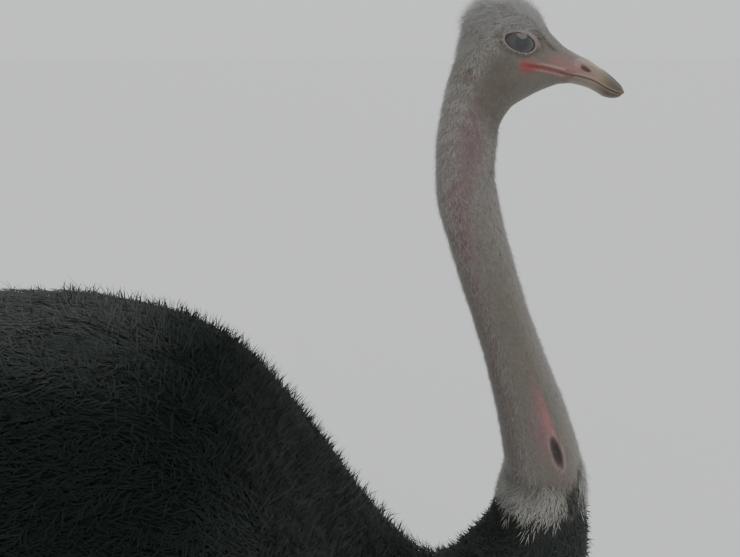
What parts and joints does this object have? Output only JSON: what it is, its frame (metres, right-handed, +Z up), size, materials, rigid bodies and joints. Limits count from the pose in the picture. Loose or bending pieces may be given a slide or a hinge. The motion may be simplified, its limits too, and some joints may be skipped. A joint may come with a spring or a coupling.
{
  "type": "male ostrich, still life-size model",
  "caption": "Life-size adult male ostrich standing still, neck in a relaxed S, black curled plumage, white wing and tail plumes.",
  "frame": {"origin": "on the floor under the middle of the bird's length, on its plane of symmetry", "axes": "+X towards the bill, +Y towards the bird's left side, +Z up"},
  "size_m": [1.6438, 0.6544, 1.8224],
  "materials": {
    "head_skin": "bare and downy grey skin, dull",
    "neck_skin": "grey skin with a mauve flush under short pale down, dull",
    "black_feather": "soft curled black feathers, matte with a faint blue-green sheen",
    "white_plume": "soft off-white plumes, matte",
    "leg_skin": "bare grey-pink skin with horny scutes, dull",
    "bill_horn": "horn, cream above and olive brown at the tip, satin",
    "claw_horn": "dark horn, satin",
    "eye_dark": "wet dark brown eye, glossy"
  },
  "bodies": {
    "root": {"bill_upper": "bill_horn", "bill_lower": "bill_horn", "head": "head_skin", "eye_right": "eye_dark", "eye_left": "eye_dark", "ear_right": "head_skin", "ear_left": "head_skin", "neck_upper": "neck_skin", "neck_middle": "neck_skin", "neck_lower": "neck_skin", "neck_base": "black_feather", "breast": "black_feather", "trunk": "black_feather", "tail": "white_plume", "wing_right": "black_feather", "wing_left": "black_feather", "wing_plumes_right": "white_plume", "wing_plumes_left": "white_plume", "thigh_right": "leg_skin", "thigh_left": "leg_skin", "shank_right": "leg_skin", "shank_left": "leg_skin", "toe_large_right": "leg_skin", "toe_large_left": "leg_skin", "toe_small_right": "leg_skin", "toe_small_left": "leg_skin", "claw_right": "claw_horn", "claw_left": "claw_horn"}
  },
  "joints": []
}
